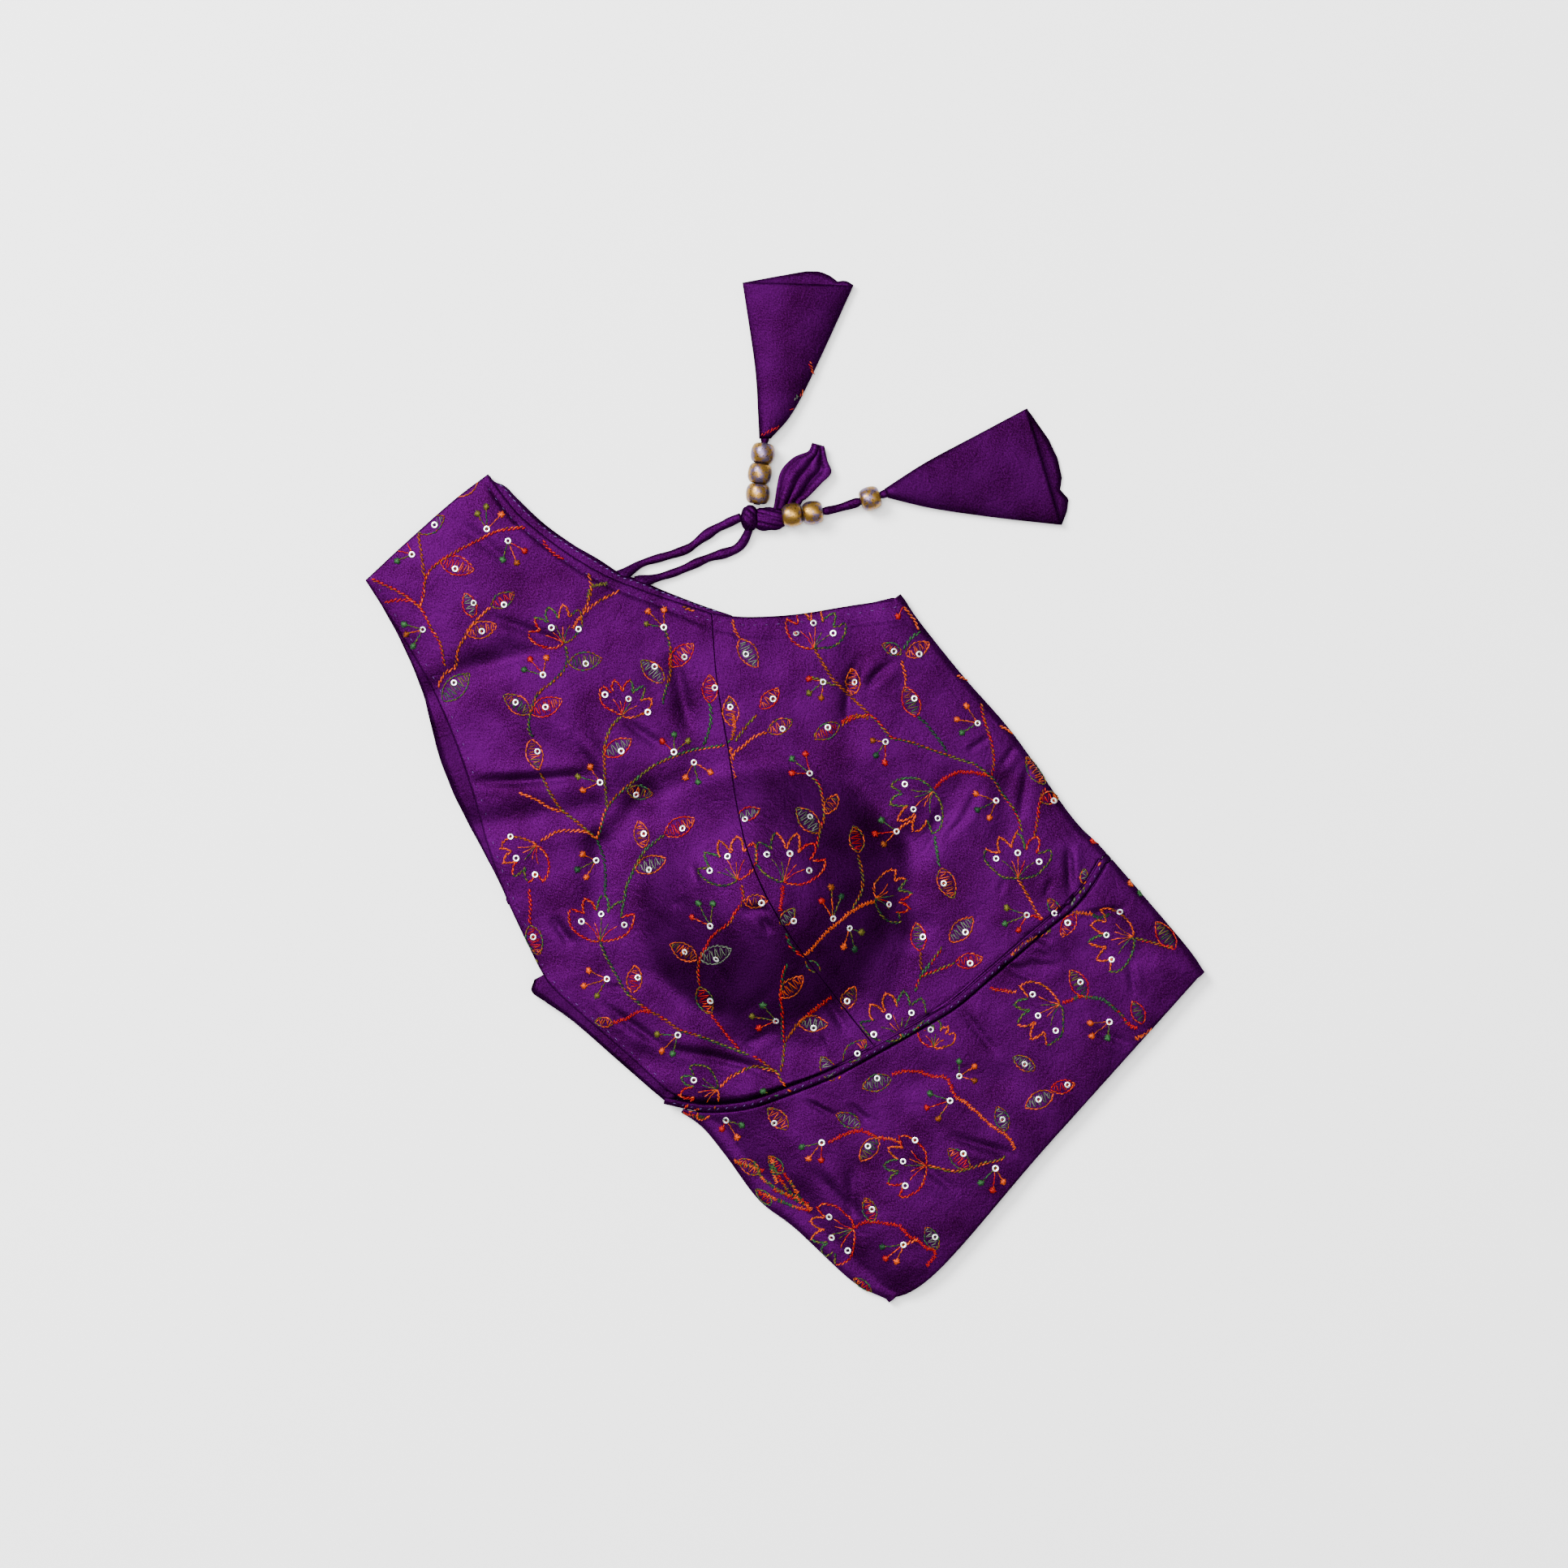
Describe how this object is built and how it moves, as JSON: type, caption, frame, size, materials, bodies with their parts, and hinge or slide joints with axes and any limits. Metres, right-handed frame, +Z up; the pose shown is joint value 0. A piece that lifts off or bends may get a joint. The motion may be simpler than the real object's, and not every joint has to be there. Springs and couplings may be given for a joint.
{
  "type": "choli blouse",
  "caption": "Sleeveless padded choli blouse in embroidered satin with a waist band and beaded neck ties, folded in half along its front and laid flat.",
  "frame": {"origin": "under the middle of the folded blouse, on the surface it lies on, measured without the neck ties", "axes": "+Y runs up the folded edge towards the neck, +X from the side seam towards the folded edge, +Z up from the surface"},
  "size_m": [0.3345, 0.4019, 0.0347],
  "materials": {
    "satin": "satin",
    "satin_dark": "satin",
    "cord_cloth": "satin",
    "gilt": "satin"
  },
  "bodies": {
    "root": {"hidden_layers": "satin_dark", "front_side_panel": "satin", "front_centre_panel": "satin", "waist_band": "satin", "band_piping": "satin_dark", "back_armhole_edge": "satin_dark", "back_side_panel": "satin", "far_neck_facing": "satin_dark", "neck_cord_long": "cord_cloth", "neck_cord_short": "cord_cloth", "cord_knot": "cord_cloth", "cord_flat_loop": "cord_cloth", "cord_tail": "cord_cloth", "upper_string": "cord_cloth", "right_string": "cord_cloth", "upper_bead_1": "gilt", "upper_bead_2": "gilt", "upper_bead_3": "gilt", "right_bead_1": "gilt", "right_bead_2": "gilt", "right_bead_3": "gilt", "upper_cone": "satin", "right_cone": "satin"}
  },
  "joints": []
}
